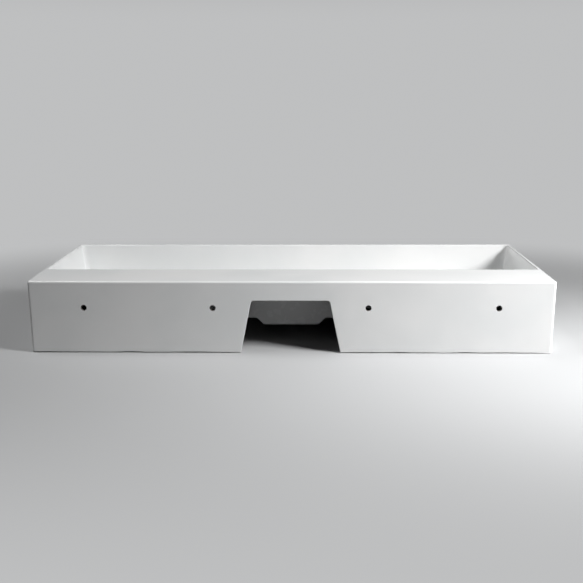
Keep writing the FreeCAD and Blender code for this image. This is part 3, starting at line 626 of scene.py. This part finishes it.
def black_rubber() -> Moulded:
    """Return black rubber with a grey bloom."""
    return Moulded(
        Slot.RUBBER, face=(0.028, 0.028, 0.030), patched=(0.10, 0.10, 0.10),
        patches=Patches(0.42, 0.75, Grain(80.0, 5.0)), roughness=(0.52, 0.82),
        skin=Skin(0.00004, Grain(1800.0)),
    )


def satin_acetal(slot: Slot, face: Colour, flow: Colour) -> Moulded:
    """Describe satin plastic with faint flow marks.

    Args:
        slot: The slot that it belongs to.
        face: The plastic's colour.
        flow: The colour of its flow marks.

    Returns:
        The finish.
    """
    return Moulded(
        slot, face=face, patched=flow,
        patches=Patches(0.4, 0.65, Grain(1.0, 3.0, (90.0, 90.0, 260.0))), roughness=(0.34, 0.46),
        skin=Skin(0.00002, Grain(1400.0)),
    )


class Finishes:
    """Every finish of the part, built once and handed out by slot."""

    def __init__(self) -> None:
        """Build one material for each slot."""
        white_acetal = satin_acetal(Slot.WHITE_ACETAL, (0.80, 0.79, 0.75), (0.74, 0.73, 0.68))
        grey_acetal = satin_acetal(Slot.GREY_ACETAL, (0.30, 0.31, 0.32), (0.25, 0.26, 0.27))
        self.by_slot: dict[Slot, bpy.types.Material] = {
            Slot.GLAZE: Glaze().material(),
            Slot.CHROME: Chrome().material(),
            Slot.BRASS: Brass().material(),
            Slot.RUBBER: black_rubber().material(),
            Slot.WHITE_ACETAL: white_acetal.material(),
            Slot.GREY_ACETAL: grey_acetal.material(),
            Slot.SPRING: SpringWire().material(),
        }

    def dress(self, node: str, slot: Slot) -> None:
        """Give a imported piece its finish.

        Args:
            node: The piece's name.
            slot: The slot that its finish belongs to.
        """
        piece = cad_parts[node]
        piece.data.materials.clear()
        piece.data.materials.append(self.by_slot[slot])
        log.info("%s in %s", node, slot.value)


# ---------------------------------------------------------------- the casting


@dataclass(frozen=True)
class Arch:
    """A shallow arch in the foot of the rear face, or a bulge where its height is negative."""

    middle: float
    reach: float
    height: float

    def lift(self, x: float) -> float:
        """Return how far the arch lifts the foot at an x."""
        return self.height * smooth_step(self.reach, 0.0, abs(x - self.middle))


@dataclass
class Casting:
    """The glazed casting: true in size, but faintly uneven on its faces and its foot."""

    node: str = "trough_basin"
    cell: tuple[float, float, float] = (0.015, 0.030, 0.015)
    weld: float = 0.000001
    cut_snap: float = 0.00001
    crease: float = 36.0
    face_sag: float = 0.0007
    face_reach: float = 0.09
    lumps: float = 3.6
    lumps_start: Point = (7.0, 3.0, 1.0)
    foot_gap: float = 0.0011
    least_gap: float = 0.5
    rear_gap: float = 0.0016
    foot_reach: float = 0.045
    foot_lumps: float = 9.0
    foot_lumps_start: Point = (0.0, 5.0, 2.0)
    foot_wave: tuple[float, float] = (-0.25, 0.45)
    arches: tuple[Arch, ...] = (
        Arch(0.558, 0.045, 0.0006), Arch(0.369, 0.040, 0.0014), Arch(0.218, 0.085, 0.0009),
        Arch(-0.174, 0.060, 0.0004), Arch(-0.247, 0.035, 0.0010), Arch(-0.350, 0.035, -0.0006),
        Arch(-0.403, 0.030, 0.0009), Arch(-0.492, 0.055, 0.0004),
    )
    calm: float = 0.045
    low: Vector = field(init=False)
    high: Vector = field(init=False)
    fittings: list[Vector] = field(init=False)

    def __post_init__(self) -> None:
        """Read the casting's box, and where fittings are seated on its bowl."""
        self.low, self.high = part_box(self.node)
        self.fittings = [self.middle("plug_seal"), self.middle("overflow_trim")]

    def build(self, finishes: Finishes) -> bpy.types.Object:
        """Make the fine copy, bend it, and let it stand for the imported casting.

        Args:
            finishes: The part's finishes.

        Returns:
            The copy's object.
        """
        mesh = bpy.data.meshes.new("glazed_casting")
        form = bmesh.new()
        form.from_mesh(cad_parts[self.node].data)
        bmesh.ops.remove_doubles(form, verts=form.verts, dist=self.weld)
        self.slice(form)
        for vertex in form.verts:
            vertex.co += self.unevenness(vertex.co)
        form.to_mesh(mesh)
        form.free()
        piece = put_in_scene("glazed_casting", self.shaded(mesh))
        piece.data.materials.clear()
        piece.data.materials.append(finishes.by_slot[Slot.GLAZE])
        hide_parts(self.node)
        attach(piece, "basin")
        log.info("glazed_casting, %d faces", len(piece.data.polygons))
        return piece

    @staticmethod
    def middle(node: str) -> Vector:
        """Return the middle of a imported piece."""
        low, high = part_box(node)
        return (low + high) / 2

    def slice(self, form: bmesh.types.BMesh) -> None:
        """Cut the mesh into cells, so that its large flat faces can bend.

        Args:
            form: The mesh to cut.
        """
        for axis, step in enumerate(self.cell):
            normal = Vector([float(axis == index) for index in range(3)])
            length = self.high[axis] - self.low[axis]
            count = math.ceil(length / step)
            for index in range(1, count):
                place = Vector(self.low)
                place[axis] += length * index / count
                everything = form.verts[:] + form.edges[:] + form.faces[:]
                bmesh.ops.bisect_plane(
                    form, geom=everything, plane_co=place, plane_no=normal, dist=self.cut_snap
                )

    def unevenness(self, point: Vector) -> Vector:
        """Work out how far the kiln has moved a point, always into the casting's own box.

        Args:
            point: The point as drawn.

        Returns:
            The move, in metres.
        """
        move = Vector((0.0, 0.0, 0.0))
        along, *across = self.lumps_start
        for axis in range(3):
            swell = 0.5 + 0.5 * noise.noise(point * self.lumps + Vector((along * axis, *across)))
            toward_high = smooth_step(self.high[axis] - self.face_reach, self.high[axis], point[axis])
            toward_low = smooth_step(self.low[axis] + self.face_reach, self.low[axis], point[axis])
            if axis == 2:
                toward_low = 0.0
            move[axis] = self.face_sag * swell * (toward_low - toward_high)
        near = min((point - place).length for place in self.fittings)
        move *= smooth_step(self.calm, 2 * self.calm, near)
        return move + Vector((0.0, 0.0, self.foot_lift(point)))

    def foot_lift(self, point: Vector) -> float:
        """Work out how far the foot stands off the floor at a point.

        Args:
            point: The point as drawn.

        Returns:
            The lift, in metres.
        """
        flat = Vector((point.x, point.y, 0.0))
        wave = noise.noise(flat * self.foot_lumps + Vector(self.foot_lumps_start))
        share = self.least_gap + (1.0 - self.least_gap) * smooth_step(*self.foot_wave, wave)
        lift = self.foot_gap * share
        rear_lift = self.rear_gap
        for arch in self.arches:
            rear_lift += arch.lift(point.x)
        at_back = smooth_step(self.high.y - 2 * self.foot_reach, self.high.y - self.foot_reach, point.y)
        lift += at_back * (rear_lift - lift)
        off_left = smooth_step(self.low.x, self.low.x + self.foot_reach, point.x)
        off_right = max(at_back, smooth_step(self.high.x, self.high.x - self.foot_reach, point.x))
        return lift * off_left * off_right * smooth_step(self.low.z + self.foot_reach, self.low.z, point.z)

    def shaded(self, mesh: bpy.types.Mesh) -> bpy.types.Mesh:
        """Smooth the mesh, keeping its creases crisp and its flat faces flat.

        Args:
            mesh: The mesh to shade.

        Returns:
            A mesh with its shading normals set.
        """
        mesh.shade_smooth()
        mesh.set_sharp_from_angle(angle=math.radians(self.crease))
        stand = put_in_scene("shading_stand", mesh)
        weighted = stand.modifiers.new("weighted", "WEIGHTED_NORMAL")
        weighted.keep_sharp = True
        graph = bpy.context.evaluated_depsgraph_get()
        done = bpy.data.meshes.new_from_object(stand.evaluated_get(graph))
        bpy.data.objects.remove(stand)
        done.name = "glazed_casting"
        return done


# ---------------------------------------------------------------- the fittings


@dataclass(frozen=True)
class Fitting:
    """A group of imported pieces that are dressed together."""

    name: str
    pieces: tuple[tuple[str, Slot], ...]

    def build(self, finishes: Finishes) -> None:
        """Dress the group's pieces.

        Args:
            finishes: The part's finishes.
        """
        for node, slot in self.pieces:
            finishes.dress(node, slot)
        log.info("%s, %d pieces", self.name, len(self.pieces))


WASTE = Fitting("waste", (
    ("waste_body", Slot.CHROME),
    ("waste_flange_gasket", Slot.RUBBER),
    ("waste_cone_washer", Slot.RUBBER),
    ("waste_slip_washer", Slot.WHITE_ACETAL),
    ("waste_backnut", Slot.BRASS),
))
CARTRIDGE = Fitting("click cartridge", (
    ("cartridge_housing", Slot.GREY_ACETAL),
    ("cartridge_collar", Slot.BRASS),
    ("cartridge_spring", Slot.SPRING),
    ("latch_ring", Slot.WHITE_ACETAL),
))
PLUG = Fitting("plug", (
    ("plug_stem", Slot.BRASS),
    ("plug_cap", Slot.CHROME),
    ("plug_seal", Slot.RUBBER),
))
OVERFLOW = Fitting("overflow", (
    ("overflow_trim", Slot.CHROME),
    ("overflow_clip", Slot.WHITE_ACETAL),
))


# ---------------------------------------------------------------- the studio


@dataclass(frozen=True)
class Softbox:
    """A square studio lamp, which glossy surfaces mirror or don't."""

    name: str
    place: Point
    target: Point
    side: float
    power: float
    spread: float
    mirrored: bool = True

    def build(self) -> None:
        """Hang the lamp and turn it to its target."""
        lamp = bpy.data.lights.new(self.name, "AREA")
        lamp.shape = "SQUARE"
        lamp.size = self.side
        lamp.energy = self.power
        lamp.spread = math.radians(self.spread)
        box = put_in_scene(self.name, lamp)
        box.location = self.place
        box.visible_glossy = self.mirrored
        aim = Vector(self.target) - Vector(self.place)
        box.rotation_euler = aim.to_track_quat("-Z", "Y").to_euler()


@dataclass
class Studio:
    """A pale floor that runs out into a pale backdrop, and three softboxes: behind, above and in front."""

    floor_size: float = 60.0
    floor_cells: int = 8
    floor_seen: Colour = (0.47, 0.475, 0.48)
    floor_bounce: Colour = (0.22, 0.222, 0.225)
    floor_roughness: float = 0.9
    floor_gloss: float = 0.1
    backdrop: Colour = (0.52, 0.525, 0.53)
    ceiling: Colour = (0.20, 0.202, 0.205)
    backdrop_top: float = 0.07
    ceiling_start: float = 0.24
    fill: float = 0.03
    near_floor: float = 0.08
    far_floor: float = 1.0
    key: Softbox = Softbox("key_light", (-1.90, 0.95, 1.30), (-0.65, 0.50, 0.05), 0.65, 17.7, 75.0)
    top: Softbox = Softbox("top_light", (1.30, 0.10, 2.20), (0.0, -0.10, 0.10), 1.0, 11.4, 120.0)
    front: Softbox = Softbox(
        "front_light", (0.60, -2.60, 0.45), (0.0, -0.22, 0.06), 1.0, 3.0, 75.0, mirrored=False
    )

    def build(self) -> None:
        """Set up the floor, the backdrop, the lights and the picture's plain colours."""
        self.floor()
        self.surroundings()
        for softbox in (self.key, self.top, self.front):
            softbox.build()
        bpy.context.scene.view_settings.view_transform = "Standard"
        log.info("studio")

    def floor(self) -> None:
        """Lay the floor, which fades into the backdrop away from the part."""
        mesh = bpy.data.meshes.new("floor")
        form = bmesh.new()
        cells = self.floor_cells
        bmesh.ops.create_grid(form, x_segments=cells, y_segments=cells, size=self.floor_size / 2)
        form.to_mesh(mesh)
        form.free()
        floor = put_in_scene("floor", mesh)
        graph = Graph("floor")
        seen = self.seen_directly(graph.tree)
        graph.dress(
            Base_Color=graph.tint(seen, self.floor_bounce, self.floor_seen),
            Roughness=self.floor_roughness,
            Specular_IOR_Level=self.floor_gloss,
        )
        glow = graph.tree.nodes.new("ShaderNodeEmission")
        graph.join(self.backdrop, glow.inputs["Color"])
        away = graph.ramp(self.distance(graph), self.near_floor, self.far_floor)
        mix = graph.tree.nodes.new("ShaderNodeMixShader")
        graph.join(graph.math(Blend.TIMES, away, seen), mix.inputs[0])
        graph.join(graph.shader.outputs["BSDF"], mix.inputs[1])
        graph.join(glow.outputs[0], mix.inputs[2])
        graph.join(mix.outputs[0], graph.output.inputs["Surface"])
        mesh.materials.append(graph.material)

    @staticmethod
    def distance(graph: Graph) -> Socket:
        """Measure how far a point of the floor lies from the part's footprint.

        Args:
            graph: The floor's graph.

        Returns:
            The distance in metres, 0 inside the footprint.
        """
        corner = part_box("trough_basin")[1]
        beyond = [
            graph.math(Blend.GREATEST, graph.math(Blend.LESS, graph.without_sign(axis), edge), 0.0)
            for axis, edge in zip(graph.axes(graph.place)[:2], (corner.x, corner.y))
        ]
        return graph.straight_way(*beyond)

    @staticmethod
    def seen_directly(tree: bpy.types.NodeTree) -> Socket:
        """Tell rays from the camera, and rays mirrored or bent towards it, from those that light the part.

        Args:
            tree: The node tree to work in.

        Returns:
            A socket that is 1 for such rays and 0 for others.
        """
        path = tree.nodes.new("ShaderNodeLightPath")
        total = path.outputs["Is Camera Ray"]
        for name in ("Is Glossy Ray", "Is Transmission Ray"):
            node = tree.nodes.new("ShaderNodeMath")
            node.operation = Blend.GREATEST.value
            tree.links.new(total, node.inputs[0])
            tree.links.new(path.outputs[name], node.inputs[1])
            total = node.outputs[0]
        return total

    def surroundings(self) -> None:
        """Make the world a pale backdrop under a darker ceiling, which lights the part only weakly."""
        world = bpy.data.worlds.new("surroundings")
        world.use_nodes = True
        tree = world.node_tree
        background = tree.nodes["Background"]
        place = tree.nodes.new("ShaderNodeTexCoord").outputs["Generated"]
        split = tree.nodes.new("ShaderNodeSeparateXYZ")
        tree.links.new(place, split.inputs[0])
        height = tree.nodes.new("ShaderNodeMapRange")
        height.interpolation_type = "SMOOTHSTEP"
        height.inputs["From Min"].default_value = self.backdrop_top
        height.inputs["From Max"].default_value = self.ceiling_start
        tree.links.new(split.outputs[2], height.inputs["Value"])
        shade = tree.nodes.new("ShaderNodeMix")
        shade.data_type = "RGBA"
        tree.links.new(height.outputs[0], shade.inputs[0])
        shade.inputs[6].default_value = (*self.backdrop, 1.0)
        shade.inputs[7].default_value = (*self.ceiling, 1.0)
        tree.links.new(shade.outputs[2], background.inputs["Color"])
        strength = tree.nodes.new("ShaderNodeMapRange")
        tree.links.new(self.seen_directly(tree), strength.inputs["Value"])
        strength.inputs["To Min"].default_value = self.fill
        strength.inputs["To Max"].default_value = 1.0
        tree.links.new(strength.outputs[0], background.inputs["Strength"])
        bpy.context.scene.world = world


@dataclass(frozen=True)
class Viewpoint:
    """The camera: behind the basin, a little above it, looking down at its rear face."""

    place: Point = (-0.0394, 1.9981, 0.5958)
    down: float = 14.214
    heading: float = 181.182
    roll: float = -0.225
    lens: float = 49.918
    sensor: float = 36.0

    def build(self) -> None:
        """Set up the camera and make it the scene's own."""
        camera = bpy.data.cameras.new("camera")
        camera.lens = self.lens
        camera.sensor_width = self.sensor
        stand = put_in_scene("camera", camera)
        turn = Euler((math.radians(90.0 - self.down), 0.0, math.radians(self.heading)), "XYZ").to_matrix()
        lean = Matrix.Rotation(math.radians(self.roll), 3, "Z")
        stand.rotation_euler = (turn @ lean).to_euler()
        stand.location = self.place
        bpy.context.scene.camera = stand
        log.info("camera")


def main() -> None:
    """Dress the part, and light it."""
    logging.basicConfig(level=logging.INFO, format="%(message)s")
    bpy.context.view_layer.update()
    Viewpoint().build()
    Studio().build()
    finishes = Finishes()
    Casting().build(finishes)
    for fitting in (WASTE, CARTRIDGE, PLUG, OVERFLOW):
        fitting.build(finishes)


if __name__ == "__main__":
    main()
